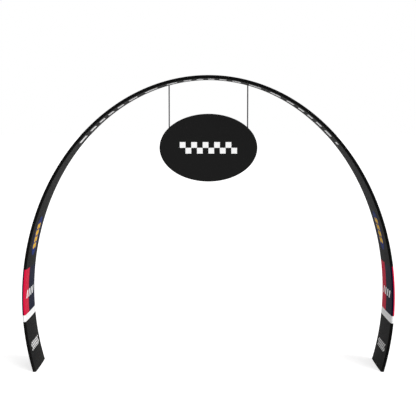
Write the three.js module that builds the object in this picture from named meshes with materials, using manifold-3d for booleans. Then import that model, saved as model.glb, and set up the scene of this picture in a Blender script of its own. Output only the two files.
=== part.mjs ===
// Archway banner stand: a stretch cloth cover on two bent tubes, with an oval sign board hung in it.
// Millimetres, +Z up. The origin is on the floor, midway between the feet and between the two hoops.
// The front of the stand looks along -Y, and the passage runs along Y.
import * as THREE from "three";
import { mergeVertices } from "three/addons/utils/BufferGeometryUtils.js";
import Module from "manifold-3d";

const wasm = await Module();
wasm.setup();

// Driving dimensions of the arch, measured on the outside of the cloth
const ARCH_HALF_WIDTH = 2000;
const ARCH_SEMI_HEIGHT = 2412;
const ARCH_CENTRE_Z = 764;
const HOOP_SPACING = 526;
const TUBE_RADIUS = 15;
const CLOTH = 1.2;
const GAP = 0.3;

// The cloth dips towards the middle of the arch between the two hoops
const CLOTH_SAG = 4;
const CLOTH_FLAT_STEPS = 4;
const TUBE_SIDES = 12;
const HOOP_STEPS = 72;
// The swept pieces start this far below the floor, and are then cut level with it
const FOOT_ALLOWANCE = 70;

// Bars between the hoops
const SPACER_RADIUS = 9;
const HANGER_BAR_DROP = 5;
const FOOT_BAR_WIDTH = 20;
const FOOT_BAR_HEIGHT = 8;

// Sign board and its cords
const SIGN_WIDTH = 1060;
const SIGN_HEIGHT = 733;
const SIGN_THICKNESS = 20;
const SIGN_EDGE_ROUND = 3;
const SIGN_CENTRE_Z = 2407;
const SIGN_SIDES = 40;
const CORD_X = 423;
const CORD_RADIUS = 7;
const CORD_STEP = 35;
const CORD_DEPTH_IN_SIGN = 45;
const SLOT_CLEARANCE = 3.5;

// Ellipse that both tubes follow at their centre lines
const EDGE_RADIUS = TUBE_RADIUS + GAP + CLOTH;
const HOOP_HALF_WIDTH = ARCH_HALF_WIDTH - EDGE_RADIUS;
const HOOP_SEMI_HEIGHT = ARCH_SEMI_HEIGHT - EDGE_RADIUS;
const BAR_LENGTH = HOOP_SPACING - 2 * (TUBE_RADIUS + GAP);

const hoopZ = (x) => ARCH_CENTRE_Z + HOOP_SEMI_HEIGHT * Math.sqrt(1 - (x / HOOP_HALF_WIDTH) ** 2);
const hoopX = (z) => HOOP_HALF_WIDTH * Math.sqrt(1 - ((z - ARCH_CENTRE_Z) / HOOP_SEMI_HEIGHT) ** 2);

// The sign swings about a line through the tops of its cords, where they leave the cloth
const HANGER_BAR_Z = hoopZ(CORD_X) - HANGER_BAR_DROP;
const PIVOT_Z = HANGER_BAR_Z - SPACER_RADIUS - GAP - CORD_RADIUS;

const finish = (color, roughness, metalness = 0) =>
  new THREE.MeshStandardMaterial({ color, roughness, metalness });
const coverCloth = finish(0x1d1d1f, 0.8);
const tubeMetal = finish(0xb9bcc0, 0.4, 0.9);
const barSteel = finish(0x6d7075, 0.5, 0.9);
const cordYarn = finish(0x7e7e80, 0.9);
const signPrint = finish(0x1d1d1d, 0.55);

// Centre line of one hoop, from below the left foot over the top to below the right foot
class HoopLine extends THREE.Curve {
  constructor(y) {
    super();
    this.y = y;
    this.dip = Math.asin((ARCH_CENTRE_Z + FOOT_ALLOWANCE) / HOOP_SEMI_HEIGHT);
  }
  getPoint(t, target = new THREE.Vector3()) {
    const angle = Math.PI + this.dip - t * (Math.PI + 2 * this.dip);
    const x = HOOP_HALF_WIDTH * Math.cos(angle);
    const z = ARCH_CENTRE_Z + HOOP_SEMI_HEIGHT * Math.sin(angle);
    return target.set(x, this.y, z);
  }
}

// Solids that can be joined and cut, and back to a three.js geometry
function solidOf(geometry) {
  const bare = geometry.clone();
  bare.deleteAttribute("normal");
  bare.deleteAttribute("uv");
  const merged = mergeVertices(bare, 1e-3);
  return new wasm.Manifold(new wasm.Mesh({
    numProp: 3,
    vertProperties: merged.attributes.position.array,
    triVerts: new Uint32Array(merged.index.array),
  }));
}

function geometryOf(solid) {
  const mesh = solid.getMesh();
  const geometry = new THREE.BufferGeometry();
  geometry.setAttribute("position", new THREE.BufferAttribute(mesh.vertProperties, 3));
  geometry.setIndex(new THREE.BufferAttribute(mesh.triVerts, 1));
  geometry.computeVertexNormals();
  return geometry;
}

const cut = (geometry, ...tools) =>
  geometryOf(tools.reduce((solid, tool) => solid.subtract(solidOf(tool)), solidOf(geometry)));

// Sweeps a section along a hoop and cuts both feet level with the floor.
// In the section, x runs from back to front and y towards the middle of the arch.
function sweptToFloor(section, y) {
  const swept = new THREE.ExtrudeGeometry(section, {
    steps: HOOP_STEPS,
    bevelEnabled: false,
    extrudePath: new HoopLine(y),
  });
  const below = 2 * FOOT_ALLOWANCE;
  const ground = new THREE.BoxGeometry(3 * ARCH_HALF_WIDTH, 4 * HOOP_SPACING, below);
  ground.translate(0, 0, -below / 2);
  return cut(swept, ground);
}

const onCircle = (centre, radius, angle) =>
  new THREE.Vector2(centre + radius * Math.cos(angle), radius * Math.sin(angle));

function roundSection(radius, sides = TUBE_SIDES) {
  const corners = Array.from({ length: sides }, (_, i) => onCircle(0, radius, (i * 2 * Math.PI) / sides));
  return new THREE.Shape(corners);
}

// One face of a cover panel, from seam to seam: a quarter turn on one tube, the sagging width, a quarter turn
// on the other. side is 1 for the panel that faces the passage and -1 for the one outside.
function panelLine(radius, side) {
  const half = HOOP_SPACING / 2;
  const seam = Math.asin(GAP / 2 / radius);
  const turn = (2 * Math.PI) / TUBE_SIDES;
  const quarter = Array.from({ length: TUBE_SIDES / 4 }, (_, i) => Math.PI / 2 - i * turn).reverse();
  const rise = [seam, ...quarter].map((angle) => onCircle(half, radius, angle));
  const width = [];
  for (let i = 1; i < CLOTH_FLAT_STEPS; i++) {
    const across = half - (i * HOOP_SPACING) / CLOTH_FLAT_STEPS;
    const sag = CLOTH_SAG * (1 - (across / half) ** 2);
    width.push(new THREE.Vector2(across, radius + side * sag));
  }
  const fall = rise.map((p) => new THREE.Vector2(-p.x, p.y)).reverse();
  return [...rise, ...width, ...fall].map((p) => new THREE.Vector2(p.x, side * p.y));
}

function panelSection(side) {
  const outside = panelLine(TUBE_RADIUS + GAP + CLOTH, side);
  const inside = panelLine(TUBE_RADIUS + GAP, side);
  return new THREE.Shape([...outside, ...inside.reverse()]);
}

// Upright slot in the cloth that a cord leaves through, long enough in Y for the cord to swing
function cordSlot(x) {
  const radius = CORD_RADIUS + GAP;
  const slot = new THREE.Shape();
  slot.absarc(x, SLOT_CLEARANCE, radius, 0, Math.PI);
  slot.absarc(x, -SLOT_CLEARANCE, radius, Math.PI, 2 * Math.PI);
  const height = 4 * EDGE_RADIUS;
  const tool = new THREE.ExtrudeGeometry(slot, { depth: height, bevelEnabled: false, curveSegments: 6 });
  return tool.translate(0, 0, PIVOT_Z - height / 2);
}

function mesh(name, geometry, material, x = 0, y = 0, z = 0) {
  const made = new THREE.Mesh(geometry, material);
  made.name = name;
  made.position.set(x, y, z);
  return made;
}

// Cover: two long panels that meet at a seam along the front and the back edge
function cover() {
  const innerPanel = sweptToFloor(panelSection(1), 0);
  const group = new THREE.Group();
  group.add(
    mesh("cover_inner_panel", cut(innerPanel, cordSlot(-CORD_X), cordSlot(CORD_X)), coverCloth),
    mesh("cover_outer_panel", sweptToFloor(panelSection(-1), 0), coverCloth),
  );
  return group;
}

// Tube frame inside the cover
const SPACERS = [
  { name: "low", angle: 15 },
  { name: "high", angle: 46 },
];

function frame() {
  const group = new THREE.Group();
  const section = roundSection(TUBE_RADIUS);
  group.add(
    mesh("hoop_front", sweptToFloor(section, -HOOP_SPACING / 2), tubeMetal),
    mesh("hoop_back", sweptToFloor(section, HOOP_SPACING / 2), tubeMetal),
  );
  const bar = new THREE.CylinderGeometry(SPACER_RADIUS, SPACER_RADIUS, BAR_LENGTH, TUBE_SIDES);
  const footBar = new THREE.BoxGeometry(FOOT_BAR_WIDTH, BAR_LENGTH, FOOT_BAR_HEIGHT);
  // The leg leans, so the foot bar stands a little inside the tubes' centre line
  const footX = hoopX(0) - FOOT_BAR_HEIGHT / 4;
  for (const [side, sign] of [["left", -1], ["right", 1]]) {
    for (const { name, angle } of SPACERS) {
      const x = HOOP_HALF_WIDTH * Math.cos(THREE.MathUtils.degToRad(angle));
      group.add(mesh(`spacer_${side}_${name}`, bar.clone(), tubeMetal, sign * x, 0, hoopZ(x)));
    }
    group.add(
      mesh(`hanger_bar_${side}`, bar.clone(), tubeMetal, sign * CORD_X, 0, HANGER_BAR_Z),
      mesh(`foot_bar_${side}`, footBar.clone(), barSteel, sign * footX, 0, FOOT_BAR_HEIGHT / 2),
    );
  }
  return group;
}

// Hanging sign, placed from the line that it swings about
const SIGN_DROP = SIGN_CENTRE_Z - PIVOT_Z;
const signRimZ = (x) => SIGN_DROP + (SIGN_HEIGHT / 2) * Math.sqrt(1 - (x / (SIGN_WIDTH / 2)) ** 2);
const CORD_END = signRimZ(CORD_X) - CORD_DEPTH_IN_SIGN;

function board() {
  const outline = new THREE.Shape();
  const halfWidth = SIGN_WIDTH / 2 - SIGN_EDGE_ROUND;
  const halfHeight = SIGN_HEIGHT / 2 - SIGN_EDGE_ROUND;
  outline.absellipse(0, 0, halfWidth, halfHeight, 0, 2 * Math.PI);
  const plate = new THREE.ExtrudeGeometry(outline, {
    depth: SIGN_THICKNESS - 2 * SIGN_EDGE_ROUND,
    curveSegments: SIGN_SIDES,
    bevelSize: SIGN_EDGE_ROUND,
    bevelThickness: SIGN_EDGE_ROUND,
    bevelSegments: 2,
  });
  plate.translate(0, 0, SIGN_EDGE_ROUND - SIGN_THICKNESS / 2);
  plate.rotateX(Math.PI / 2).translate(0, 0, SIGN_DROP);
  const sockets = [-CORD_X, CORD_X].map((x) => cordTube(x, CORD_END - GAP, 0, CORD_RADIUS + GAP));
  return cut(plate, ...sockets);
}

function cordTube(x, bottom, top, radius) {
  return new THREE.ExtrudeGeometry(roundSection(radius), {
    steps: Math.round((top - bottom) / CORD_STEP),
    bevelEnabled: false,
    extrudePath: new THREE.LineCurve3(new THREE.Vector3(x, 0, bottom), new THREE.Vector3(x, 0, top)),
  });
}

// Straight cord with a round top, so that it turns under its bar without touching it
function cord(x) {
  const top = new THREE.SphereGeometry(CORD_RADIUS, TUBE_SIDES, TUBE_SIDES / 2);
  top.rotateX(Math.PI / 2).translate(x, 0, 0);
  return geometryOf(solidOf(cordTube(x, CORD_END, 0, CORD_RADIUS)).add(solidOf(top)));
}

function hangingSign() {
  const group = new THREE.Group();
  group.position.z = PIVOT_Z;
  group.add(
    mesh("sign_board", board(), signPrint),
    mesh("cord_left", cord(-CORD_X), cordYarn),
    mesh("cord_right", cord(CORD_X), cordYarn),
  );
  return group;
}

const stand = new THREE.Group();
stand.add(cover(), frame(), hangingSign());

export default stand;
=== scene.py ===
# %% [markdown]
# An archway banner stand
#
# A stand like this marks the way into a fair or a race. It is a long sleeve of stretch cloth pulled over
# two bent tubes, with an oval sign board hung from its top on two cords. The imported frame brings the
# solids of the construction. This script dresses them: the cloth with its seams and hems, the braided
# cords, the sign board, and a finish for every surface.
# All sizes are metres, +Z is up, and the front of the stand looks along -Y.

# %% Load the frame
import math

import bmesh
import bpy
import numpy as np
from mathutils import Color, Matrix, Vector


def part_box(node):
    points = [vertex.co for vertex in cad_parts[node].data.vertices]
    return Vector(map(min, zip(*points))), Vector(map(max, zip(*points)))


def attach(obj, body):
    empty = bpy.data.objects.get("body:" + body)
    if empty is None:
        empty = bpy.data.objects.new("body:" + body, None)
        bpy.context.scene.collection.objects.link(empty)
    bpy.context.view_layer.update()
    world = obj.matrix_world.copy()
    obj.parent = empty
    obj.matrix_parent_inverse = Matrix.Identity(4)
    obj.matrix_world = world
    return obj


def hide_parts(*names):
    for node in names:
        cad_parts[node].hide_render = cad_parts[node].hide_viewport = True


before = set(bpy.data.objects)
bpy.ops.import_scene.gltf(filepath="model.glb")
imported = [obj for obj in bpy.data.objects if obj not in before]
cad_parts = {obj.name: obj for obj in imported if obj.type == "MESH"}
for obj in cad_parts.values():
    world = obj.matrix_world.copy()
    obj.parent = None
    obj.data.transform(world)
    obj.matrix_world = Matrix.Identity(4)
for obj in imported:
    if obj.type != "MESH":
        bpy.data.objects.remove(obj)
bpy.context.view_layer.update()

# %% [markdown]
# Camera
#
# The photograph looks straight through the passage from a little below the top of the arch. A camera can be
# placed by eye, but its height, tilt and lens were worked out from the outlines of the front and the back
# edge, so that a render can be compared with the photograph line by line.

# %% Camera at the photograph's angle
PHOTO_WIDTH = 416  # pixels
FOCAL_LENGTH = 900  # pixels
SENSOR_WIDTH = 36.0  # millimetres
CAMERA_PLACE = (-0.0046, -9.765, 2.745)
CAMERA_DIP = 5.81  # degrees below level
VIEW_DEPTH = 500.0


def deselect():
    """Lets go of everything: the frame arrives selected, and operators act on what is selected."""
    bpy.ops.object.select_all(action="DESELECT")


deselect()
bpy.ops.object.camera_add(location=CAMERA_PLACE, rotation=(math.radians(90 - CAMERA_DIP), 0, 0))
camera = bpy.context.object
camera.name = "photo_camera"
camera.data.sensor_fit = "HORIZONTAL"
camera.data.sensor_width = SENSOR_WIDTH
camera.data.lens = FOCAL_LENGTH / PHOTO_WIDTH * SENSOR_WIDTH
camera.data.clip_end = VIEW_DEPTH
bpy.context.scene.camera = camera
print(f"camera lens {camera.data.lens:.1f} mm at {tuple(camera.location)}")

# %% [markdown]
# Floor and light
#
# The photograph has a white ground and no shadow. A white studio gives nearly that: a pale floor, a white
# room all round, and one very wide soft light from the front and the right, whose shadows fade away. The
# left leg's inner face takes that light and the right leg's turns from it, as in the photograph. A lamp
# beside the stand would light the near leg more, while a sun lights both alike. Room and floor look white
# to the camera but light the stand less, or their even glow would wash the black cloth out to grey.

# %% Pale floor
FLOOR_SIDE = 240.0
FLOOR_DROP = 0.0005
FLOOR_GLOW = 0.6
PURE_WHITE = (1, 1, 1, 1)
FLOOR_LOOK = {"Base Color": (0.95, 0.95, 0.95, 1), "Roughness": 0.9, "Specular IOR Level": 0.1,
              "Emission Color": PURE_WHITE}


def finish_of(name):
    """A new material with its Principled shader."""
    material = bpy.data.materials.new(name)
    material.use_nodes = True
    return material, material.node_tree.nodes["Principled BSDF"]


def to_camera(tree, lighting, seen, socket):
    """A strength that is one value where it lights the stand and another where the camera sees it."""
    ray = tree.nodes.new("ShaderNodeLightPath")
    strength = tree.nodes.new("ShaderNodeMapRange")
    strength.inputs["To Min"].default_value = lighting
    strength.inputs["To Max"].default_value = seen
    tree.links.new(ray.outputs["Is Camera Ray"], strength.inputs["Value"])
    tree.links.new(strength.outputs["Result"], socket)


deselect()
bpy.ops.mesh.primitive_plane_add(size=FLOOR_SIDE, location=(0, 0, -FLOOR_DROP))
floor = bpy.context.object
floor.name = "studio_floor"
floor_paint, floor_shader = finish_of("studio_floor")
for name, value in FLOOR_LOOK.items():
    floor_shader.inputs[name].default_value = value
to_camera(floor_paint.node_tree, 0.0, FLOOR_GLOW, floor_shader.inputs["Emission Strength"])
floor.data.materials.append(floor_paint)
print("floor", FLOOR_SIDE, "m wide")

# %% White room and one wide soft light
ROOM_SEEN = 1.0
ROOM_LIGHT = 0.42
SOFT_LIGHT = 2.29
SOFT_WIDTH = math.radians(50)
SOFT_FROM = (0.676, -0.617, 0.403)

room = bpy.data.worlds.new("white_room")
bpy.context.scene.world = room
room.use_nodes = True
glow = room.node_tree.nodes["Background"]
glow.inputs["Color"].default_value = PURE_WHITE
to_camera(room.node_tree, ROOM_LIGHT, ROOM_SEEN, glow.inputs["Strength"])
bpy.context.scene.view_settings.view_transform = "Standard"

deselect()
bpy.ops.object.light_add(type="SUN", rotation=Vector(SOFT_FROM).to_track_quat("Z", "Y").to_euler())
soft_light = bpy.context.object
soft_light.name = "soft_light"
soft_light.data.energy = SOFT_LIGHT
soft_light.data.angle = SOFT_WIDTH
print("soft light", round(math.degrees(SOFT_WIDTH)), "degrees wide")

# %% [markdown]
# One piece at a time
#
# Blender's operators work on whatever is selected, and after loading that is the whole frame. Each tool
# here picks one piece before it acts. The same lines could be typed out at every step, but one forgotten
# selection spoils a neighbour.

# %% Pick a piece
def pick(piece):
    """Selects one piece alone and makes it the active one."""
    deselect()
    piece.select_set(True)
    bpy.context.view_layer.objects.active = piece


def named(name):
    """The primitive that was added last, under its own name."""
    piece = bpy.context.object
    piece.name = name
    piece.data.name = name
    return piece


def edit_all(piece):
    """Opens edit mode on one piece with everything selected."""
    pick(piece)
    bpy.ops.object.mode_set(mode="EDIT")
    bpy.ops.mesh.select_all(action="SELECT")


print("selected before a piece is picked:", [item.name for item in bpy.context.selected_objects])

# %% Mend, change and shade a piece
TOUCHING = 1e-6  # points this near count as one


def merge_points(piece, distance):
    edit_all(piece)
    bpy.ops.mesh.remove_doubles(threshold=distance)
    bpy.ops.object.mode_set(mode="OBJECT")


def face_outwards(piece):
    edit_all(piece)
    bpy.ops.mesh.normals_make_consistent(inside=False)
    bpy.ops.object.mode_set(mode="OBJECT")


def apply_modifier(piece, kind, **settings):
    pick(piece)
    modifier = piece.modifiers.new(kind.lower(), kind)
    for name, value in settings.items():
        setattr(modifier, name, value)
    bpy.ops.object.modifier_apply(modifier=modifier.name)


def smooth(piece, degrees):
    """Shades a piece smooth, except across edges that turn more than this."""
    pick(piece)
    bpy.ops.object.shade_smooth_by_angle(angle=math.radians(degrees))


def triangles(piece):
    return sum(len(face.vertices) - 2 for face in piece.data.polygons)


print("the floor has", triangles(floor), "triangles")

# %% [markdown]
# A flat grid that remembers its cut
#
# Cloth and braid are both flat things that are bent into shape, so both start here as a flat grid. The
# grid's own UV map keeps the flat place of each point in metres, and a print or a weave can be laid on it
# later as if the cloth were still on the table. A bent shape could be unwrapped afterwards, but that would
# only guess at the cut that is known here.

# %% Flat grid
def flat_grid(name, along, across):
    """A grid piece with a row for each value of along and a column for each of across, both in metres."""
    deselect()
    bpy.ops.mesh.primitive_grid_add(x_subdivisions=len(along) - 1, y_subdivisions=len(across) - 1, size=2)
    piece = named(name)
    points = np.empty(3 * len(piece.data.vertices))
    piece.data.vertices.foreach_get("co", points)
    share = (points.reshape(-1, 3) + 1) / 2
    rows = np.rint(share[:, 0] * (len(along) - 1)).astype(int)
    columns = np.rint(share[:, 1] * (len(across) - 1)).astype(int)
    return piece, np.asarray(along)[rows], np.asarray(across)[columns]


def place_points(piece, x, y, z):
    points = np.column_stack([x, y, z]).astype(np.float32)
    piece.data.vertices.foreach_set("co", points.ravel())
    piece.data.update()


def keep_cut(piece, along, across):
    """Writes the flat place of each point to the piece's UV map."""
    corners = np.empty(len(piece.data.loops), int)
    piece.data.loops.foreach_get("vertex_index", corners)
    cut = piece.data.uv_layers[0]
    cut.name = "flat_cut"
    cut.data.foreach_set("uv", np.column_stack([along, across])[corners].astype(np.float32).ravel())


print("grid tools are ready")

# %% [markdown]
# Braided cords
#
# The sign hangs on two grey cords that are pulled straight by its weight. A plain cylinder would read as a
# rod, so the plaits are modelled: strands climb round the cord both ways and pass over and under each
# other. A flat grid is rolled into a tube, its radius follows the plaits, and its ends are closed. The
# route is the one that the frame's own cord solids keep, from the cloth down into the sign's rim.

# %% Route of each cord
CORD_DIAMETER = 0.014
CORD_POINTS = 21
SIDES = {"left": -1, "right": 1}


def cord_route(node):
    """Points from the cord's top, where it leaves the cloth, to its end in the sign."""
    low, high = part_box(node)
    x = (low.x + high.x) / 2
    top = high.z - CORD_DIAMETER / 2
    return [(x, 0.0, z) for z in np.linspace(top, low.z, CORD_POINTS)]


cord_routes = {side: cord_route(f"cord_{side}") for side in SIDES}
CORD_X = cord_routes["right"][0][0]

# %% Plaits of the braid
STRANDS = 8  # each way round
STRAND_RISE = 0.0078
STRAND_BACK = 0.7  # below 1 the back of a strand is flatter
STRAND_DIVE = 0.5  # share of its height that a strand loses where it goes under
BRAID_DEPTH = 0.0012


def plait_height(turn, along):
    """Height of the braid from 0, in a crease, to 1, on the back of a strand."""
    climbing = STRANDS * turn + along / STRAND_RISE
    falling = STRANDS * turn - along / STRAND_RISE
    climbs_over = (np.floor(climbing) + np.floor(falling)) % 2 == 0
    across = np.where(climbs_over, climbing % 1, falling % 1)
    onward = np.where(climbs_over, falling % 1, climbing % 1)
    return np.sin(np.pi * across) ** STRAND_BACK * (1 - STRAND_DIVE + STRAND_DIVE * np.sin(np.pi * onward))


print(STRANDS, "strands each way,", BRAID_DEPTH * 1000, "mm deep")

# %% Grid rolled into a braid
STEPS_AROUND = 48
STEP_ALONG = 0.001
END_RINGS = 7


def braided_cord(name, route):
    radius = CORD_DIAMETER / 2
    x, y, top = route[0]
    bottom = route[-1][2]
    dome = radius * np.sin(np.linspace(-np.pi / 2, 0, END_RINGS))
    shaft = np.arange(STEP_ALONG, top - bottom, STEP_ALONG)
    along = np.concatenate([dome, shaft, [top - bottom, top - bottom + radius]])
    turns = np.linspace(0, 1, STEPS_AROUND + 1)
    piece, down, turn = flat_grid(name, along, turns)
    keep_cut(piece, down, turn)
    closing = np.sqrt(np.clip(1 - np.minimum(down, 0) ** 2 / radius**2, 0, 1))
    closing = np.where(down > top - bottom + radius / 2, 0, closing)
    plait = radius - BRAID_DEPTH * (1 - plait_height(turn % 1, down))
    angle = 2 * np.pi * turn
    z = top - np.minimum(down, top - bottom)
    place_points(piece, x + closing * plait * np.cos(angle), y + closing * plait * np.sin(angle), z)
    merge_points(piece, TOUCHING)
    face_outwards(piece)
    smooth(piece, degrees=60)
    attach(piece, "sign")
    return piece


cords = {}
for side, route in cord_routes.items():
    made = braided_cord(f"braided_cord_{side}", route)
    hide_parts(f"cord_{side}")
    cords[side] = made
    print(made.name, triangles(made), "triangles")

# %% [markdown]
# The line of the arch
#
# Both hoops follow one ellipse whose lower end is cut off by the floor. Everything on the cloth is placed
# by two lengths, as on a tape measure: how far along the hoop from the crown, and how far across from the
# middle of the panel. A strip could be bent along a curve object instead, but a formula gives any point of
# the cloth at once. A table of arc lengths turns the first length into an angle on the ellipse.

# %% Ellipse of the hoops
ARCH_CENTRE_Z = 0.764
HOOP_HALF_WIDTH = 1.9835
HOOP_SEMI_HEIGHT = 2.3955
BELOW_FLOOR = 0.05
TABLE_STEPS = 6001


def hoop(angle):
    """Place on the ellipse and the direction outwards there."""
    x = HOOP_HALF_WIDTH * np.cos(angle)
    z = ARCH_CENTRE_Z + HOOP_SEMI_HEIGHT * np.sin(angle)
    out_x = HOOP_SEMI_HEIGHT * np.cos(angle)
    out_z = HOOP_HALF_WIDTH * np.sin(angle)
    size = np.hypot(out_x, out_z)
    return x, z, out_x / size, out_z / size


DIP = math.asin((ARCH_CENTRE_Z + BELOW_FLOOR) / HOOP_SEMI_HEIGHT)
table_angles = np.linspace(math.pi + DIP, -DIP, TABLE_STEPS)
table_x, table_z = hoop(table_angles)[:2]
table_lengths = np.concatenate([[0], np.cumsum(np.hypot(np.diff(table_x), np.diff(table_z)))])
table_lengths -= table_lengths[TABLE_STEPS // 2]
right_leg = slice(TABLE_STEPS * 3 // 4, None)


def length_at_height(z):
    """Length along the hoop from the crown down to a height on a leg."""
    return float(np.interp(-z, -table_z[right_leg], table_lengths[right_leg]))


LEG_END = length_at_height(0.0)
print(f"hoop is {2 * LEG_END:.3f} m from foot to foot")

# %% [markdown]
# Relief of the sewn cloth
#
# The sleeve is two long panels sewn together along the front and the back edge. A seam carries a turned
# allowance inside, so the cloth rises in a small roll on each side of the line. At the feet the cloth is
# turned up in a hem, and it is pulled into faint lines where it is held: at the corners of the feet and
# round the two slots that the cords leave by. A noise could wrinkle the cloth all over, but tight cloth
# shows only a few pull lines, and no two alike, so each is given one by one.

# %% Sizes of seams, hems and pull lines
HALF_SPACING = 0.263
EDGE_RADIUS = 0.0165  # outside of the cloth, round a tube
SEAM_GAP = 0.00015
SEAM_ANGLE = math.pi / 2 - SEAM_GAP / EDGE_RADIUS
PANEL_HALF_WIDTH = HALF_SPACING + EDGE_RADIUS * SEAM_ANGLE
SEAM_ROLL = {"rise": 0.0007, "off": 0.0036, "spread": 0.0021,
             "pucker": 0.00025, "pitch": 0.062, "drift": 3.1}
HEM = {"depth": 0.025, "rise": 0.0006, "edge": 0.0012, "dent": 0.0003, "dent_spread": 0.0013}
HEM_ROWS = (0.0175, 0.0215)  # twin rows of stitches, above the bottom edge
SLOT_LENGTH = float(np.interp(CORD_X, table_x, table_lengths))

# Columns: where a line starts (length, across), where it ends (length, across), depth, half width
FOOT_PULLS = [
    (LEG_END - 0.02, -0.252, LEG_END - 0.31, -0.085, 0.0015, 0.017),
    (LEG_END - 0.02, 0.250, LEG_END - 0.24, 0.110, 0.0012, 0.015),
    (-LEG_END + 0.02, -0.251, -LEG_END + 0.26, -0.120, 0.0013, 0.016),
    (-LEG_END + 0.02, 0.252, -LEG_END + 0.33, 0.070, 0.0014, 0.018),
]
SLOT_PULLS = [
    (SLOT_LENGTH, 0.014, SLOT_LENGTH + 0.05, 0.240, 0.0010, 0.013),
    (SLOT_LENGTH, -0.014, SLOT_LENGTH - 0.03, -0.235, 0.0012, 0.012),
    (-SLOT_LENGTH, 0.014, -SLOT_LENGTH - 0.02, 0.245, 0.0011, 0.012),
    (-SLOT_LENGTH, -0.014, -SLOT_LENGTH + 0.06, -0.230, 0.0010, 0.014),
]
PULL_LINES = {1: FOOT_PULLS, -1: FOOT_PULLS + SLOT_PULLS}
print(f"panel {2 * PANEL_HALF_WIDTH:.4f} m wide from seam to seam")

# %% Height of the relief
def bump_of(distance, spread):
    return np.exp(-((distance / spread) ** 2))


def smooth_step(value):
    value = np.clip(value, 0, 1)
    return value * value * (3 - 2 * value)


def pull_depth(length, across, lines):
    depth = np.zeros_like(length)
    for from_length, from_across, to_length, to_across, deep, half_width in lines:
        run = np.array([to_length - from_length, to_across - from_across])
        gone = (length - from_length) * run[0] + (across - from_across) * run[1]
        share = np.clip(gone / (run @ run), 0, 1)
        off = np.hypot(length - from_length - share * run[0], across - from_across - share * run[1])
        depth += deep * bump_of(off, half_width) * (1 - share**2)
    return depth


def relief(length, across, above_floor, side):
    """How far the sewn cloth stands proud of its smooth shape."""
    off_seam = PANEL_HALF_WIDTH - abs(across)
    beat = 2 * np.pi * length / SEAM_ROLL["pitch"] + np.sin(SEAM_ROLL["drift"] * length)
    rise = SEAM_ROLL["rise"] + SEAM_ROLL["pucker"] * np.sin(beat)
    roll = rise * bump_of(off_seam - SEAM_ROLL["off"], SEAM_ROLL["spread"])
    hem = HEM["rise"] * smooth_step((HEM["depth"] - above_floor) / HEM["edge"] + 0.5)
    for row in HEM_ROWS:
        hem = hem - HEM["dent"] * bump_of(above_floor - row, HEM["dent_spread"])
    return roll + hem - pull_depth(length, across, PULL_LINES[side])


print("pull lines:", len(PULL_LINES[1]), "outside,", len(PULL_LINES[-1]), "inside")

# %% [markdown]
# From the flat cut to the arch
#
# On the real stand the cut strip is pulled half round both tubes. The same happens here: a point of the
# flat strip keeps its place along the hoop, its place across is bent a quarter turn round each tube, and
# the width between the tubes dips a little. The stitches could be placed by eye, but they use the same
# function with a lift, so they always sit on the surface.

# %% Points on a panel
CLOTH_SAG = 0.004
BISECT_STEPS = 40


def bare_cloth(length, across, side, raised):
    """A point of the stretched strip, raised off its tube by so much; side is 1 outside and -1 inside."""
    flat = np.clip(across, -HALF_SPACING, HALF_SPACING)
    turned = np.minimum((abs(across) - abs(flat)) / EDGE_RADIUS, SEAM_ANGLE)
    sag = CLOTH_SAG * (1 - (flat / HALF_SPACING) ** 2)
    reach = EDGE_RADIUS + raised
    out = side * reach * np.cos(turned) - sag
    x, z, out_x, out_z = hoop(np.interp(length, table_lengths, table_angles))
    return x + out * out_x, flat + np.sign(across) * reach * np.sin(turned), z + out * out_z


def foot_length(across, side):
    """Length along the hoop at which that line of the cloth meets the floor."""
    low = np.full_like(across, LEG_END - BELOW_FLOOR / 2)
    high = np.full_like(across, LEG_END + BELOW_FLOOR / 2)
    for _ in range(BISECT_STEPS):
        middle = (low + high) / 2
        above = bare_cloth(middle, across, side, 0.0)[2] > 0
        low, high = np.where(above, middle, low), np.where(above, high, middle)
    return low


def on_cloth(length, across, side, lift=0.0):
    above_floor = foot_length(across, side) - abs(length)
    return bare_cloth(length, across, side, relief(length, across, above_floor, side) + lift)


inner_foot = float(foot_length(np.array([0.0]), -1)[0])
print(f"foot of the inner panel is {inner_foot:.4f} m from the crown")

# %% [markdown]
# Cover panels
#
# Each panel is one continuous sheet. Its rows stand 12 mm apart, closer at the hems, and its columns crowd
# together round the tubes and at the seams, where the cloth bends. A Solidify modifier then gives the
# knit its thickness on the tube side, so the outer face stays where it was placed. A cloth simulation
# could stretch the strip too, but tight cloth on a frame moves so little that it would only add noise.

# %% Rows and columns of a panel
ROW_STEP = 0.012
HEM_LINES = (0.0, 0.004, 0.008, 0.012, 0.015, 0.0165, 0.0175, 0.0185, 0.0195, 0.0205, 0.0215, 0.0225,
             0.0238, 0.0247, 0.0255, 0.0265, 0.029, 0.034)
SEAM_LINES = (0.0, 0.0012, 0.0024, 0.0036, 0.005, 0.007, 0.0105, 0.015, 0.020)
FLAT_COLUMNS = 31

fine_rows = 1 - np.array(HEM_LINES) / LEG_END
even_rows = np.linspace(0, fine_rows[-1] - ROW_STEP / LEG_END, round(LEG_END / ROW_STEP))
half_rows = np.concatenate([even_rows, fine_rows[::-1]])
PANEL_ROWS = np.concatenate([-half_rows[:0:-1], half_rows])

rounded = PANEL_HALF_WIDTH - np.array(SEAM_LINES)
between_tubes = np.linspace(-HALF_SPACING, HALF_SPACING, FLAT_COLUMNS)
PANEL_COLUMNS = np.concatenate([-rounded, between_tubes, rounded[::-1]])
print(len(PANEL_ROWS), "rows and", len(PANEL_COLUMNS), "columns in a panel")

# %% Sheets on the arch
CLOTH = 0.0012


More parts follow.
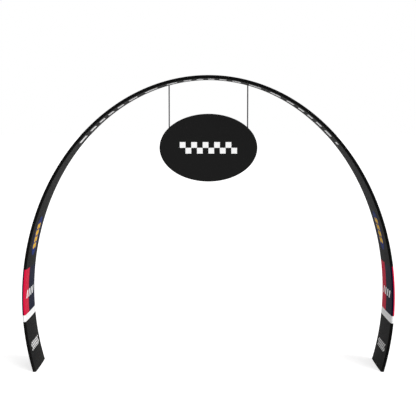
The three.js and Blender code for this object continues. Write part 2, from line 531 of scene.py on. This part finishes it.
def cover_panel(name, side):
    """One panel, side 1 outside or -1 facing the passage, with its flat length along the middle."""
    piece, share, across = flat_grid(name, PANEL_ROWS, side * PANEL_COLUMNS)
    length = share * foot_length(across, side)
    keep_cut(piece, length, across)
    x, y, z = on_cloth(length, across, side)
    place_points(piece, x, y, np.maximum(z, 0))
    middle = abs(across) < TOUCHING
    order = np.argsort(length[middle])
    line = np.column_stack([x[middle], z[middle]])[order]
    flat_length = float(np.hypot(*np.diff(line, axis=0).T).sum())
    apply_modifier(piece, "SOLIDIFY", thickness=CLOTH, offset=-1.0, use_rim=True)
    for point in piece.data.vertices:
        point.co.z = max(point.co.z, 0)
    return piece, flat_length


outer_cover, outer_length = cover_panel("cover_outside", 1)
inner_cover, inner_length = cover_panel("cover_inside", -1)
print(f"flat lengths: outside {outer_length:.3f} m, inside {inner_length:.3f} m")

# %% [markdown]
# Slots for the cords
#
# Each cord leaves through a short slot in the inner panel, sewn round like a buttonhole. A dark patch could
# pass for a slot from far off, but close to, the cord would run through the cloth. The slot is cut with a
# Boolean, using a rounded block: a cylinder whose front and back halves are moved apart. Its sewn rim
# starts as a ring, is pulled long in the same way, gets a ridge for each turn of thread, and is carried
# onto the cloth by the same function as the panel.

# %% Slot cut in the inner panel
CORD_CLEARANCE = 0.0003
SLOT_STRETCH = 0.0035
SLOT_RADIUS = CORD_DIAMETER / 2 + CORD_CLEARANCE
CUTTER_HEIGHT = 0.08
CUTTER_SIDES = 48
CUT_MERGE = 0.0003  # points of the cut that nearly meet are joined


def halves_apart(piece, distance):
    """Moves the front and back halves of a round piece apart, so that it grows long in Y."""
    for half in (-1, 1):
        edit_all(piece)
        bpy.ops.mesh.select_mode(type="VERT")
        shape = bmesh.from_edit_mesh(piece.data)
        for point in shape.verts:
            point.select_set(half * point.co.y > TOUCHING)
        shape.select_flush_mode()
        bmesh.update_edit_mesh(piece.data)
        bpy.ops.transform.translate(value=(0, half * distance, 0))
        bpy.ops.object.mode_set(mode="OBJECT")


def cut_away(piece, cutter):
    apply_modifier(piece, "BOOLEAN", operation="DIFFERENCE", solver="EXACT", object=cutter)
    bpy.data.objects.remove(cutter)


for side, route in cord_routes.items():
    deselect()
    bpy.ops.mesh.primitive_cylinder_add(vertices=CUTTER_SIDES, radius=SLOT_RADIUS, depth=CUTTER_HEIGHT)
    slot_cutter = named(f"slot_cutter_{side}")
    halves_apart(slot_cutter, SLOT_STRETCH)
    slot_cutter.data.transform(Matrix.Translation(route[0]))
    cut_away(inner_cover, slot_cutter)
merge_points(inner_cover, CUT_MERGE)
for piece in (outer_cover, inner_cover):
    smooth(piece, degrees=50)
    print(piece.name, triangles(piece), "triangles")

# %% Sewn rims of the slots
RIM_THICKNESS = 0.0017
RIM_SIDES = 10
RIM_GAP = 0.0002
RIM_SINK = 0.0004
RIM_STITCHES = 56
RIM_STEPS = 4 * RIM_STITCHES
RIM_RIDGE = 0.16


def slot_rim(name, way):
    """A sewn rim on the cloth, way -1 on the left of the crown and 1 on the right."""
    ring = SLOT_RADIUS + RIM_GAP + RIM_THICKNESS
    deselect()
    bpy.ops.mesh.primitive_torus_add(
        major_radius=ring, minor_radius=RIM_THICKNESS, major_segments=RIM_STEPS, minor_segments=RIM_SIDES)
    piece = named(name)
    for point in piece.data.vertices:
        turn = math.atan2(point.co.y, point.co.x)
        middle = Vector((ring * math.cos(turn), ring * math.sin(turn), 0))
        ridge = 1 - RIM_RIDGE * (0.5 - 0.5 * math.cos(RIM_STITCHES * turn))
        point.co = middle + ridge * (point.co - middle)
    halves_apart(piece, SLOT_STRETCH)
    local = np.array([point.co for point in piece.data.vertices])
    x, y, z = on_cloth(way * SLOT_LENGTH + local[:, 0], local[:, 1], -1, local[:, 2] - RIM_SINK)
    place_points(piece, x, y, z)
    face_outwards(piece)
    smooth(piece, degrees=60)
    return piece


slot_rims = [slot_rim(f"cord_slot_rim_{side}", way) for side, way in SIDES.items()]
print("slot rims:", [triangles(rim) for rim in slot_rims], "triangles")

# %% [markdown]
# Hem stitches
#
# Two rows of thread hold each hem. A stitch is so small that a dark line of bump would nearly do, but real
# thread catches the light in points. One stitch is modelled, as a squashed sphere with few faces, and
# copied along the rows into one joined mesh; every copy is carried onto the cloth where it lies.

# %% One stitch copied along the hems
STITCH_LENGTH = 0.0031
STITCH_PITCH = 0.0039
STITCH_WIDTH = 0.0009
STITCH_HEIGHT = 0.0006

deselect()
bpy.ops.mesh.primitive_uv_sphere_add(segments=6, ring_count=4, radius=0.5)
one_stitch = bpy.context.object
stitch_points = np.array([point.co for point in one_stitch.data.vertices])
stitch_faces = [tuple(face.vertices) for face in one_stitch.data.polygons]
bpy.data.objects.remove(one_stitch)


def stitch_row(side, leg, height):
    """Points of one row of stitches across a panel, at a height above its bottom edge."""
    places = np.arange(-PANEL_HALF_WIDTH + STITCH_PITCH, PANEL_HALF_WIDTH - STITCH_PITCH / 2, STITCH_PITCH)
    across = (places[:, None] + STITCH_LENGTH * stitch_points[None, :, 0]).ravel()
    up = np.tile(height + STITCH_WIDTH * stitch_points[:, 1], len(places))
    lift = np.tile(STITCH_HEIGHT * stitch_points[:, 2], len(places))
    length = leg * (foot_length(across, side) - up)
    return np.column_stack(on_cloth(length, across, side, lift))


rows = [stitch_row(side, leg, height) for side in (1, -1) for leg in (1, -1) for height in HEM_ROWS]
thread_points = np.concatenate(rows)
copies = len(thread_points) // len(stitch_points)
thread_faces = [tuple(i + copy * len(stitch_points) for i in face)
                for copy in range(copies) for face in stitch_faces]
thread_mesh = bpy.data.meshes.new("hem_stitches")
thread_mesh.from_pydata(thread_points.tolist(), [], thread_faces)
hem_stitches = bpy.data.objects.new("hem_stitches", thread_mesh)
bpy.context.scene.collection.objects.link(hem_stitches)
face_outwards(hem_stitches)
smooth(hem_stitches, degrees=80)
print(copies, "stitches,", triangles(hem_stitches), "triangles")

# %% [markdown]
# The cover rides on the arch
#
# Every piece of the cover is attached to the arch's body, so it moves with the arch, and the frame's panel
# solids are hidden. All of the cover stays on the arch.

# %% Cover pieces ride on the arch
for piece in (outer_cover, inner_cover, hem_stitches, *slot_rims):
    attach(piece, "arch")
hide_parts("cover_outer_panel")
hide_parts("cover_inner_panel")
print("cover pieces ride on the arch")

# %% [markdown]
# Sign board
#
# The sign is a light sandwich board: two printed face sheets on a core that sits a little back from their
# edges. A flat disc would do from the front, but not for someone who walks under it. The board starts as a
# filled circle, is scaled to the oval, and is drawn out in three steps, so that the core's groove runs all
# round the rim. The sharp outer edges are then bevelled, and a socket for each cord is bored down from the
# rim with a Boolean.

# %% Oval drawn out in three layers
OVAL_SIDES = 240
FACE_SHEET = 0.005
CORE_SETBACK = 0.0012
sign_low, sign_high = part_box("sign_board")
sign_centre = (sign_low + sign_high) / 2
sign_half = (sign_high - sign_low) / 2

deselect()
bpy.ops.mesh.primitive_circle_add(
    vertices=OVAL_SIDES, radius=1, fill_type="NGON",
    location=(0, sign_low.y, sign_centre.z), rotation=(math.pi / 2, 0, 0))
sign = named("sign_panel")
sign.scale = (sign_half.x, sign_half.z, 1)
bpy.ops.object.transform_apply(location=True, rotation=True, scale=True)


def draw_back(distance, grow):
    """Draws the selected face back along Y, then grows or shrinks it by a width all round."""
    bpy.ops.mesh.extrude_region_move(TRANSFORM_OT_translate={"value": (0, distance, 0)})
    size = (1 + grow / sign_half.x, 1, 1 + grow / sign_half.z)
    bpy.ops.transform.resize(value=size, center_override=tuple(sign_centre))


edit_all(sign)
bpy.ops.mesh.select_mode(type="FACE")
draw_back(FACE_SHEET, 0)
draw_back(0, -CORE_SETBACK)
draw_back(2 * (sign_half.y - FACE_SHEET), 0)
draw_back(0, CORE_SETBACK)
draw_back(FACE_SHEET, 0)
bpy.ops.object.mode_set(mode="OBJECT")
face_outwards(sign)
print(sign.name, len(sign.data.polygons), "faces before the rim is rounded")

# %% Rounded rim and plain border
RIM_ROUND = 0.0025
ROUND_STEPS = 4
BORDER = 0.03
ON_FACE = 1e-5  # points this near to a face sheet's plane lie on it


def select_rim(piece):
    """Selects the edges round the front and back faces."""
    edit_all(piece)
    bpy.ops.mesh.select_mode(type="EDGE")
    shape = bmesh.from_edit_mesh(piece.data)
    for edge in shape.edges:
        edge.select_set(all(abs(abs(point.co.y) - sign_half.y) < ON_FACE for point in edge.verts))
    bmesh.update_edit_mesh(piece.data)


select_rim(sign)
bpy.ops.mesh.bevel(offset=RIM_ROUND, segments=ROUND_STEPS, affect="EDGES")
bpy.ops.mesh.select_mode(type="FACE")
shape = bmesh.from_edit_mesh(sign.data)
for face in shape.faces:
    face.select_set(len(face.verts) == OVAL_SIDES)
bmesh.update_edit_mesh(sign.data)
bpy.ops.mesh.inset(thickness=BORDER, use_individual=True)
bpy.ops.object.mode_set(mode="OBJECT")
print(sign.name, len(sign.data.polygons), "faces with its rounded rim")

# %% Sockets for the cords
for side, route in cord_routes.items():
    x, y, end = route[-1]
    bottom = end - CORD_CLEARANCE
    depth = sign_high.z - bottom
    deselect()
    bpy.ops.mesh.primitive_cylinder_add(
        vertices=CUTTER_SIDES, radius=SLOT_RADIUS, depth=depth, location=(x, y, bottom + depth / 2))
    cut_away(sign, named(f"socket_borer_{side}"))
smooth(sign, degrees=30)
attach(sign, "sign")
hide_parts("sign_board")
print(sign.name, triangles(sign), "triangles")

# %% [markdown]
# Nodes as sums
#
# A material is a small chain of sums. It can be wired by hand in the shader editor, but a long chain is
# hard to read there. This helper adds a node, puts plain numbers straight on its sockets and wires the
# rest, so that the recipes below read like formulas.

# %% Node helper
class Nodes:
    def __init__(self, tree):
        self.tree = tree

    def put(self, value, socket):
        """Wires a node's output to a socket, or sets a plain value on it."""
        if isinstance(value, bpy.types.NodeSocket):
            self.tree.links.new(value, socket)
        else:
            socket.default_value = value

    def feed(self, node, values):
        """Puts each value on the node's socket of that name or number."""
        for key, value in values.items():
            self.put(value, node.inputs[key])

    def add(self, kind, values, **settings):
        """A new node, set up and fed, as its outputs."""
        made = self.tree.nodes.new("ShaderNode" + kind)
        for name, setting in settings.items():
            setattr(made, name, setting)
        self.feed(made, values)
        return made.outputs

    def math(self, operation, *inputs, clamp=False):
        return self.add("Math", dict(enumerate(inputs)), operation=operation, use_clamp=clamp)[0]

    def mix(self, share, first, second):
        """The first colour where the share is 0 and the second where it is 1."""
        # Colours go in at sockets 6 and 7 of a Mix node and come out at 2
        return self.add("Mix", {0: share, 6: first, 7: second}, data_type="RGBA")[2]

    def noise(self, vector, scale, detail=2.0, rough=0.5):
        values = {"Vector": vector, "Scale": scale, "Detail": detail, "Roughness": rough}
        return self.add("TexNoise", values)["Fac"]

    def group(self, tree, values):
        return self.add("Group", values, node_tree=tree)


print("node helper is ready")

# %% Sums that come up often
def within(net, value, reach):
    """1 where a value is nearer to 0 than reach, and 0 elsewhere."""
    return net.math("LESS_THAN", net.math("ABSOLUTE", value), reach)


def distance_of(net, first, second):
    squares = [net.math("MULTIPLY", side, side) for side in (first, second)]
    return net.math("SQRT", net.math("ADD", *squares))


def between(net, value, low, high):
    """Runs from low, where the value is 0, to high, where it is 1."""
    return net.math("MULTIPLY_ADD", value, high - low, low)


def place_of(net):
    return net.add("TexCoord", {})["Object"]


def parts_of(net, vector):
    return net.add("SeparateXYZ", {"Vector": vector})


def flat_cut(net):
    """The flat place of a point in metres, along in X and across in Y."""
    return parts_of(net, net.add("UVMap", {}, uv_map="flat_cut")["UV"])


def bump(net, height, strength, distance):
    values = {"Strength": strength, "Distance": distance, "Height": height}
    return net.add("Bump", values)["Normal"]


print("sums are ready")

# %% Groups and inks
def new_group(name, inputs, outputs):
    """An empty node group: inputs and outputs map a label to Float, Vector or Color."""
    tree = bpy.data.node_groups.new(name, "ShaderNodeTree")
    for direction, labels in (("INPUT", inputs), ("OUTPUT", outputs)):
        for label, kind in labels.items():
            tree.interface.new_socket(label, in_out=direction, socket_type="NodeSocket" + kind)
    taken = tree.nodes.new("NodeGroupInput").outputs
    return tree, Nodes(tree), taken, tree.nodes.new("NodeGroupOutput").inputs


def ink(red, green, blue):
    """A printed colour given as 0 to 255 on screen, as the linear light that a shader wants."""
    screen = Color((red / 255, green / 255, blue / 255))
    return (*screen.from_srgb_to_scene_linear(), 1.0)


print(f"a mid grey ink is {ink(128, 128, 128)[0]:.3f} in linear light")

# %% [markdown]
# Knit
#
# The cover is a fine warp knit: upright ribs of loops about a millimetre wide. So many loops can't be
# modelled, so a group draws them from the flat cut in metres, and the ribs run along the panel and bend
# round the tubes with it. No two yarns are quite alike, so long thin streaks follow the ribs. The group
# gives a height for the bump and a shade for the colour: painted shade that darkens the gaps between the
# ribs, times the yarns' own streaks.

# %% Knit group
RIB = {"width": 0.0012, "share": 0.65}
LOOP = {"width": 0.0010, "share": 0.35, "lean": 0.8}
STREAKS = {"along": 7.0, "across": 420.0, "rise": 0.4}  # to the metre
PAINTED_GAP_SHADE = (0.75, 1.11)
STREAK_SHADE = (0.93, 1.11)

knit_group, knit, given, result = new_group(
    "knit", {"Along": "Float", "Across": "Float"}, {"Shade": "Float", "Height": "Float"})
rib_angle = knit.math("MULTIPLY", given["Across"], math.pi / RIB["width"])
rib = knit.math("ABSOLUTE", knit.math("SINE", rib_angle))
lean = knit.math("MULTIPLY", knit.math("SINE", knit.math("MULTIPLY", rib_angle, 2.0)), LOOP["lean"])
loop_angle = knit.math("MULTIPLY_ADD", given["Along"], math.pi / LOOP["width"], lean)
loop = knit.math("ABSOLUTE", knit.math("SINE", loop_angle))
height = knit.math("MULTIPLY_ADD", rib, RIB["share"], knit.math("MULTIPLY", loop, LOOP["share"]))
streak_along = knit.math("MULTIPLY", given["Along"], STREAKS["along"])
streak_across = knit.math("MULTIPLY", given["Across"], STREAKS["across"])
streak_place = knit.add("CombineXYZ", {"X": streak_along, "Y": streak_across})["Vector"]
streak = knit.noise(streak_place, 1.0)
knit.put(knit.math("MULTIPLY_ADD", streak, STREAKS["rise"], height), result["Height"])
# Painted shade: the colour is darker in the gaps between the ribs, times the real streaks of uneven yarn
shade = knit.math("MULTIPLY", between(knit, height, *PAINTED_GAP_SHADE), between(knit, streak, *STREAK_SHADE))
knit.put(shade, result["Shade"])
print("knit ribs", RIB["width"] * 1000, "mm wide")

# %% [markdown]
# Handling marks
#
# Nothing that is put up and taken down stays perfectly even. This group gives a soft unevenness of tone
# over the whole piece and a faint grey dust that gathers near the floor. Cloth, sign and cords all use it,
# so it is made once and not painted on each.

# %% Handling group
BROAD_TONE = {"scale": 2.6, "detail": 3.0}
FINE_TONE = {"scale": 38.0, "detail": 4.0, "rough": 0.6}
TONE = {"least": 0.85, "broad": 0.20, "fine": 0.10}
DUST_HEIGHT = 0.16

handling_group, marks, given, result = new_group(
    "handling", {"Place": "Vector"}, {"Tone": "Float", "Dust": "Float"})
broad = marks.noise(given["Place"], **BROAD_TONE)
fine = marks.noise(given["Place"], **FINE_TONE)
tone = marks.math("MULTIPLY_ADD", broad, TONE["broad"], marks.math("MULTIPLY", fine, TONE["fine"]))
marks.put(marks.math("ADD", tone, TONE["least"]), result["Tone"])
height = parts_of(marks, given["Place"])["Z"]
low_down = marks.math("SUBTRACT", 1.0, marks.math("DIVIDE", height, DUST_HEIGHT), clamp=True)
patchy = marks.math("MULTIPLY", marks.math("POWER", low_down, 2.0), fine, clamp=True)
marks.put(patchy, result["Dust"])
print("dust up to", DUST_HEIGHT, "m")

# %% [markdown]
# Chequered strip
#
# The sign and the feet carry a plain chequered strip, the common mark of a finish line. Blender has a
# chequer texture, but it fills all space. This group takes a place measured from the strip's middle, gives
# 1 on the white squares, and stops at the strip's ends.

# %% Chequer group
strip_inputs = ("Sideways", "Upwards", "Square", "Half Width", "Half Height")
chequer_group, strip, given, result = new_group(
    "chequered_strip", {label: "Float" for label in strip_inputs}, {"Mask": "Float"})
column = strip.math("FLOOR", strip.math("DIVIDE", given["Sideways"], given["Square"]))
row = strip.math("FLOOR", strip.math("DIVIDE", given["Upwards"], given["Square"]))
odd = strip.math("FLOORED_MODULO", strip.math("ADD", column, row), 2.0)
wide = within(strip, given["Sideways"], given["Half Width"])
high = within(strip, given["Upwards"], given["Half Height"])
strip.put(strip.math("MULTIPLY", odd, strip.math("MULTIPLY", wide, high)), result["Mask"])


def chequered(net, sideways, upwards, size):
    values = (sideways, upwards, size["square"], size["half_width"], size["half_height"])
    return net.group(chequer_group, dict(zip(strip_inputs, values)))["Mask"]


print("chequered strip takes", ", ".join(strip_inputs))

# %% [markdown]
# Print on the cover
#
# The cover is printed before it is sewn. Each leg has a white band and above it a block that is half red
# and half navy. The colours could be separate pieces of cloth, but a print has no edge to feel, so a group
# works them out from the flat cut. The two panels share one print, with red and navy changing sides, so
# the group has a switch for the side. Heights on the leg are turned into lengths along the hoop, because
# that is what the flat cut measures. The print was not laid quite evenly: each mark sits a little higher
# or lower on the right leg.

# %% White band, red and navy block
# A mark's uneven share is added on the right leg and taken off on the left
BAND_LOW = {"height": 0.5425, "uneven": -0.008}
BAND_HIGH = {"height": 0.6160, "uneven": -0.004}
BLOCK_TOP = {"height": 1.1335, "uneven": 0.0165}
# The red half starts a little off the middle, less so on the right leg
SPLIT = {"middle": 0.056, "uneven": 0.028}
BLACK = ink(8, 8, 8)
WHITE = ink(250, 250, 250)
RED = ink(208, 16, 58)
NAVY = ink(4, 11, 42)

print_group, art, given, result = new_group(
    "cover_print", {"Along": "Float", "Across": "Float", "Red Side": "Float"}, {"Color": "Color"})
up = art.math("SUBTRACT", LEG_END, art.math("ABSOLUTE", given["Along"]))
leg_side = art.math("SIGN", given["Along"])
turned = art.math("MULTIPLY", given["Across"], leg_side)


def above(mark):
    """Length up the leg from a mark."""
    mark_up = LEG_END - length_at_height(mark["height"])
    return art.math("SUBTRACT", up, art.math("MULTIPLY_ADD", leg_side, mark["uneven"], mark_up))


def over(mark):
    return art.math("GREATER_THAN", above(mark), 0.0)


split = art.math("MULTIPLY_ADD", leg_side, -SPLIT["uneven"], SPLIT["middle"])
red_half = art.math("GREATER_THAN", art.math("MULTIPLY", turned, given["Red Side"]), split)
colour = art.mix(over(BAND_LOW), BLACK, WHITE)
colour = art.mix(over(BAND_HIGH), colour, art.mix(red_half, NAVY, RED))
colour = art.mix(over(BLOCK_TOP), colour, BLACK)
print(f"white band {BAND_HIGH['height'] - BAND_LOW['height']:.4f} m high")

# %% [markdown]
# Marks on the print
#
# In the open places stand plain marks: a chequered strip on each foot, slanted white bars on the block, a
# blue pill with two rows of yellow dots above it, and uneven white dashes over the crown. A picture file
# could hold them, but marks that are worked out from lengths stay sharp from any distance, and each is
# moved by changing one number.

# %% Strip on the foot and bars on the block
FOOT_STRIP = {"height": 0.240, "uneven": -0.010, "square": 0.030,
              "half_width": 0.180, "half_height": 0.045}
BARS = {"height": 0.830, "uneven": 0.0, "half_height": 0.042,
        "count": 4, "pitch": 0.100, "width": 0.048, "slant": 0.55}
BARS_HALF_WIDTH = ((BARS["count"] - 1) * BARS["pitch"] + BARS["width"]) / 2

colour = art.mix(chequered(art, turned, above(FOOT_STRIP), FOOT_STRIP), colour, WHITE)
bars_up = above(BARS)
slanted = art.math("MULTIPLY_ADD", bars_up, BARS["slant"], turned)
from_first = art.math("FLOORED_MODULO", art.math("ADD", slanted, BARS_HALF_WIDTH), BARS["pitch"])
on_bar = art.math("LESS_THAN", from_first, BARS["width"])
in_bars = art.math(
    "MULTIPLY", within(art, bars_up, BARS["half_height"]), within(art, slanted, BARS_HALF_WIDTH))
colour = art.mix(art.math("MULTIPLY", on_bar, in_bars), colour, WHITE)
print(BARS["count"], "slanted bars over", round(2 * BARS_HALF_WIDTH, 3), "m")

# %% Pill and dots
PILL = {"height": 1.483, "uneven": 0.031, "half_length": 0.222, "half_width": 0.120}
DOT = {"pitch": 0.074, "radius": 0.034, "column": 0.040, "reach": 0.148}
BLUE = ink(12, 38, 108)
YELLOW = ink(255, 200, 28)

pill_up = above(PILL)
straight = PILL["half_length"] - PILL["half_width"]
past_end = art.math("MAXIMUM", art.math("SUBTRACT", art.math("ABSOLUTE", pill_up), straight), 0.0)
in_pill = art.math("LESS_THAN", distance_of(art, past_end, turned), PILL["half_width"])
colour = art.mix(in_pill, colour, BLUE)
dot_up = art.math("PINGPONG", art.math("ADD", pill_up, DOT["pitch"] / 2), DOT["pitch"] / 2)
dot_across = art.math("SUBTRACT", art.math("ABSOLUTE", turned), DOT["column"])
on_dot = art.math("LESS_THAN", distance_of(art, dot_up, dot_across), DOT["radius"])
colour = art.mix(art.math("MULTIPLY", on_dot, within(art, pill_up, DOT["reach"])), colour, YELLOW)
print("pill", 2 * PILL["half_length"], "m long with dots of", 2 * DOT["radius"], "m")

# %% Dashes over the crown
DASHES = {"middle": -0.088, "half_width": 0.076, "reach": 1.62,
          "pitch": 0.165, "drift": 5.3, "stray": 2.6, "level": -0.2}

drift = art.math("SINE", art.math("MULTIPLY", given["Along"], DASHES["drift"]))
stray = art.math("MULTIPLY", drift, DASHES["stray"])
beat = art.math("MULTIPLY_ADD", given["Along"], 2 * math.pi / DASHES["pitch"], stray)
dash = art.math("GREATER_THAN", art.math("SINE", beat), DASHES["level"])
in_row = within(art, art.math("SUBTRACT", given["Across"], DASHES["middle"]), DASHES["half_width"])
near_crown = within(art, given["Along"], DASHES["reach"])
colour = art.mix(art.math("MULTIPLY", art.math("MULTIPLY", dash, in_row), near_crown), colour, WHITE)
art.put(colour, result["Color"])
print("a row of dashes within", DASHES["reach"], "m of the crown")

# %% [markdown]
# Cloth finishes
#
# Black stretch knit drinks light: seen square on, at the rounded edges, it is nearly black. Its smooth
# filament yarns have a satin gloss that shows where the cloth is seen along its surface, so the faces that
# line the passage look charcoal, and more so towards the crown. A grey paint could not do that, because it
# would not change with the view; a weak, half-rough gloss does. A trace of sheen stands for loose fibre.
# Values that are the same all over go straight on the shader.

# %% Cloth materials
CLOTH_GLOSS = 0.045
CLOTH_ROUGHNESS = (0.30, 0.58)
LOOSE_FIBRE = 0.012
KNIT_BUMP = {"strength": 0.5, "distance": 0.0005}
DUST_SHARE = 0.05
DUST_COLOUR = ink(150, 146, 140)


def cloth_finish(name, red_side):
    material, shader = finish_of(name)
    net = Nodes(material.node_tree)
    cut = flat_cut(net)
    flat_place = {"Along": cut["X"], "Across": cut["Y"]}
    printed = net.group(print_group, {**flat_place, "Red Side": red_side})["Color"]
    woven = net.group(knit_group, flat_place)
    handled = net.group(handling_group, {"Place": place_of(net)})
    # The knit's painted shade in the gaps between ribs, with its yarn streaks and the uneven tone, darkens
    # the print
    shade = net.math("MULTIPLY", woven["Shade"], handled["Tone"])
    shaded = net.add("VectorMath", {0: printed, 1: shade}, operation="MULTIPLY")[0]
    net.feed(shader, {
        "Base Color": net.mix(net.math("MULTIPLY", handled["Dust"], DUST_SHARE), shaded, DUST_COLOUR),
        "Roughness": between(net, handled["Tone"], *CLOTH_ROUGHNESS),
        "Specular IOR Level": CLOTH_GLOSS,
        "Sheen Weight": LOOSE_FIBRE,
        "Normal": bump(net, woven["Height"], **KNIT_BUMP),
    })
    return material


outer_cloth = cloth_finish("outer_cloth", -1.0)
inner_cloth = cloth_finish("inner_cloth", 1.0)
outer_cover.data.materials.append(outer_cloth)
inner_cover.data.materials.append(inner_cloth)
print("cloth finishes:", outer_cloth.name, inner_cloth.name)

# %% [markdown]
# Thread
#
# The hems and the slots are sewn with charcoal polyester thread. One flat grey would pass at this size, but
# twisted thread glints, so a fine noise paints lighter flecks into its tone as painted glints and also
# varies its roughness, and it has more gloss than the knit.

# %% Thread material
THREAD_TWIST = 900.0  # to the metre
THREAD_ROUGHNESS = (0.45, 0.65)
THREAD_GLOSS = 0.2
THREAD_TONE_AND_GLINT = (ink(24, 24, 25), ink(52, 52, 54))


def thread_finish():
    material, shader = finish_of("charcoal_thread")
    net = Nodes(material.node_tree)
    # Painted glints: the noise lightens the thread's colour in flecks, and it also varies the roughness
    painted_glint_and_twist = net.noise(place_of(net), THREAD_TWIST)
    net.feed(shader, {
        "Base Color": net.mix(painted_glint_and_twist, *THREAD_TONE_AND_GLINT),
        "Roughness": between(net, painted_glint_and_twist, *THREAD_ROUGHNESS),
        "Specular IOR Level": THREAD_GLOSS,
    })
    return material


thread = thread_finish()
for piece in (hem_stitches, *slot_rims):
    piece.data.materials.append(thread)
print("thread finish on", 1 + len(slot_rims), "pieces")

# %% [markdown]
# Cord finish
#
# The cords are grey, with fine yarns that run along each strand. The plaits are modelled, but yarns as fine
# as these would weigh more than the whole stand, so they are bump, drawn from the braid's own flat cut. The
# grey also darkens between the yarns as painted shade.

# %% Cord material
YARNS = 4  # in a strand
PAINTED_YARN_SHADE = (0.86, 1.02)
YARN_BUMP = {"strength": 0.4, "distance": 0.0003}
CORD_ROUGHNESS = (0.85, 0.70)
CORD_GLOSS = 0.15
CORD_FUZZ = 0.05
CORD_TONES = (ink(34, 34, 35), ink(84, 84, 86))


def cord_finish():
    material, shader = finish_of("grey_braid")
    net = Nodes(material.node_tree)
    cut = flat_cut(net)
    handled = net.group(handling_group, {"Place": place_of(net)})
    climb = net.math("MULTIPLY_ADD", cut["Y"], STRANDS, net.math("DIVIDE", cut["X"], STRAND_RISE))
    yarn = net.math("ABSOLUTE", net.math("SINE", net.math("MULTIPLY", climb, YARNS * math.pi)))
    # Painted shade: the grey is darker in the grooves between the yarns, times the uneven tone
    tone = net.math("MULTIPLY", handled["Tone"], between(net, yarn, *PAINTED_YARN_SHADE))
    net.feed(shader, {
        "Base Color": net.mix(tone, *CORD_TONES),
        "Roughness": between(net, yarn, *CORD_ROUGHNESS),
        "Specular IOR Level": CORD_GLOSS,
        "Sheen Weight": CORD_FUZZ,
        "Normal": bump(net, yarn, **YARN_BUMP),
    })
    return material


braid = cord_finish()
for cord in cords.values():
    cord.data.materials.append(braid)
print("cord finish on", len(cords), "cords")

# %% [markdown]
# Sign print
#
# The sign's face sheets are printed black, with a chequered strip in the middle of both sides, and have the
# dull satin of a plastic sheet. The strip could be cut from white film, but on a board it is one print, so
# it is a mask in the colour. A fine grain in roughness and bump keeps the black from looking like paint.

# %% Sign material
SIGN_STRIP = {"square": 0.062, "half_width": 0.310, "half_height": 0.062}
SIGN_GRAIN = 700.0  # to the metre
SIGN_ROUGHNESS = (0.48, 0.64)
SIGN_GLOSS = 0.03
SIGN_BLACKS = (ink(19, 19, 19), ink(28, 28, 28))
GRAIN_BUMP = {"strength": 0.12, "distance": 0.0002}


def sign_finish():
    material, shader = finish_of("sign_print")
    net = Nodes(material.node_tree)
    place = place_of(net)
    spot = parts_of(net, place)
    mask = chequered(net, spot["X"], net.math("SUBTRACT", spot["Z"], sign_centre.z), SIGN_STRIP)
    handled = net.group(handling_group, {"Place": place})
    grain = net.noise(place, SIGN_GRAIN)
    black = net.mix(handled["Tone"], *SIGN_BLACKS)
    net.feed(shader, {
        "Base Color": net.mix(mask, black, WHITE),
        "Roughness": between(net, grain, *SIGN_ROUGHNESS),
        "Specular IOR Level": SIGN_GLOSS,
        "Normal": bump(net, grain, **GRAIN_BUMP),
    })
    return material


sign.data.materials.append(sign_finish())
print("sign finish on", sign.name)

# %% [markdown]
# Metal inside the cover
#
# The tubes and bars inside the cover are drawn aluminium and mill steel. Nobody sees them unless the cover
# comes off, and they could stay plain, yet a stand that is taken apart should look right too. A noise that
# is stretched along Y, the way the bars lie, gives the fine marks of drawing.

# %% Metal materials
DRAWN_MARKS = {"scale": 60.0, "detail": 4.0, "rough": 0.6}


def metal_finish(name, dark, light, roughness, stretch):
    material, shader = finish_of(name)
    net = Nodes(material.node_tree)
    stretched = net.add("Mapping", {"Vector": place_of(net), "Scale": stretch})["Vector"]
    drawn = net.noise(stretched, **DRAWN_MARKS)
    net.feed(shader, {
        "Base Color": net.mix(drawn, dark, light),
        "Roughness": between(net, drawn, *roughness),
        "Metallic": 1.0,
    })
    return material


tube_metal = metal_finish(
    "drawn_tube", dark=ink(168, 170, 174), light=ink(202, 204, 208),
    roughness=(0.25, 0.45), stretch=(8, 0.5, 8))
bar_steel = metal_finish(
    "mill_bar", dark=ink(98, 101, 106), light=ink(140, 143, 148),
    roughness=(0.35, 0.55), stretch=(6, 0.4, 6))
for name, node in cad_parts.items():
    if not node.hide_render:
        node.data.materials.clear()
        node.data.materials.append(bar_steel if name.startswith("foot_bar") else tube_metal)
print("metal finishes on", sum(not node.hide_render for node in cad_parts.values()), "solids")
